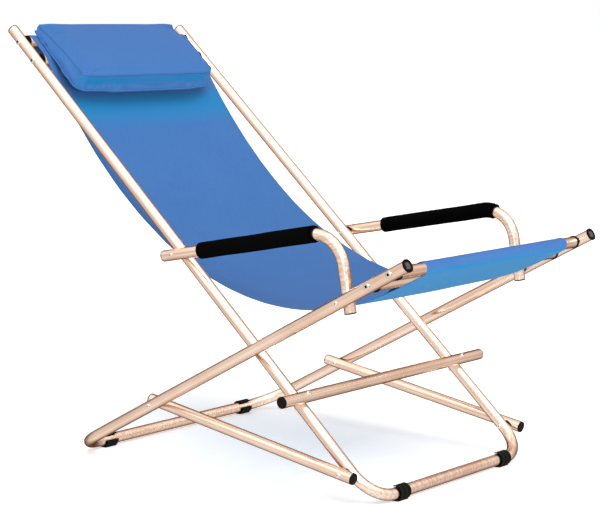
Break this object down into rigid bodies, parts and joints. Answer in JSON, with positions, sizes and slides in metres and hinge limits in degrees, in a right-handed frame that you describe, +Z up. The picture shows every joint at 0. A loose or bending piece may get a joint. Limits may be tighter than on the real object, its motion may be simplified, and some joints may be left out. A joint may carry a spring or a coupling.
{
  "type": "beach chair",
  "caption": "Folding beach chair: crossed aluminium tube frames, bent armrests with foam grips, short links and a slung fabric seat with a head pillow.",
  "frame": {"origin": "on the floor, under the centre of the open chair's bounding box", "axes": "+X towards the sitter's left hand, -Y the way the chair faces, +Z up"},
  "size_m": [0.63, 1.0562, 0.8554],
  "materials": {
    "frame_metal": "satin, warm champagne tint, faint drawing marks along the tubes",
    "cap_plastic": "moulded black plastic",
    "clip_plastic": "moulded black plastic, scuffed underneath",
    "grip_foam": "fine-celled black foam",
    "rivet_metal": "satin rivet heads",
    "bolt_steel": "zinc-plated steel",
    "sling_fabric": "blue plain-weave polyester with hemmed edges",
    "pillow_fabric": "blue plain-weave polyester over soft filling, piped seam"
  },
  "bodies": {
    "back": {"back_frame": "frame_metal", "back_frame_caps": "cap_plastic", "head_bar_upper": "frame_metal", "head_bar_lower": "frame_metal", "head_bar_plugs": "cap_plastic", "head_bar_spacers": "cap_plastic", "head_bar_bolts": "bolt_steel", "cross_stretcher": "frame_metal", "stretcher_caps": "cap_plastic", "stretcher_rivets": "rivet_metal", "front_foot_clips": "clip_plastic", "arm_pivot_rivets": "rivet_metal", "arm_pivot_washers": "cap_plastic", "link_pivot_rivets": "rivet_metal", "link_pivot_washers": "cap_plastic", "head_sleeve": "sling_fabric", "sling": "sling_fabric", "pillow": "pillow_fabric"},
    "seat": {"seat_frame": "frame_metal", "seat_frame_caps": "cap_plastic", "seat_bar_front": "frame_metal", "seat_bar_rear": "frame_metal", "seat_bar_plugs": "cap_plastic", "seat_bar_spacers": "cap_plastic", "seat_bar_bolts": "bolt_steel", "rear_foot_clips": "clip_plastic", "seat_pivot_rivets": "rivet_metal", "seat_pivot_washers": "cap_plastic", "link_rear_rivets": "rivet_metal", "seat_sleeve": "sling_fabric"},
    "arm_right": {"arm_right": "frame_metal", "arm_grip_right": "grip_foam", "arm_caps_right": "cap_plastic"},
    "link_right": {"link_right": "frame_metal", "link_caps_right": "cap_plastic", "link_stud_right": "rivet_metal", "link_washer_right": "cap_plastic"},
    "arm_left": {"arm_left": "frame_metal", "arm_grip_left": "grip_foam", "arm_caps_left": "cap_plastic"},
    "link_left": {"link_left": "frame_metal", "link_caps_left": "cap_plastic", "link_stud_left": "rivet_metal", "link_washer_left": "cap_plastic"}
  },
  "joints": [
    {"name": "fold", "type": "hinge", "parent": "back", "child": "arm_right", "pos_m": [0, 0.04582, 0.42103], "axis": [1, 0, 0], "range_deg": [-139.67, 0], "deforming": ["sling", "pillow"]},
    {"name": "arm_left_fold", "type": "hinge", "parent": "back", "child": "arm_left", "pos_m": [0, 0.04582, 0.42103], "axis": [1, 0, 0], "range_deg": [-139.77, 0.1]},
    {"name": "seat_tilt", "type": "hinge", "parent": "arm_right", "child": "seat", "pos_m": [0, -0.37516, 0.37271], "axis": [1, 0, 0], "range_deg": [-0.1, 34.41]},
    {"name": "link_right_swing", "type": "hinge", "parent": "back", "child": "link_right", "pos_m": [0, -0.36007, 0.0594], "axis": [1, 0, 0], "range_deg": [-0.1, 32.04]},
    {"name": "link_left_swing", "type": "hinge", "parent": "back", "child": "link_left", "pos_m": [0, -0.36007, 0.0594], "axis": [1, 0, 0], "range_deg": [-0.1, 32.04]}
  ],
  "couplings": [
    {"joint": "arm_left_fold", "follows": "fold", "ratio": 1},
    {"joint": "seat_tilt", "follows": "fold", "ratio": -0.24567},
    {"joint": "link_right_swing", "follows": "fold", "ratio": -0.22871},
    {"joint": "link_left_swing", "follows": "fold", "ratio": -0.22871}
  ]
}
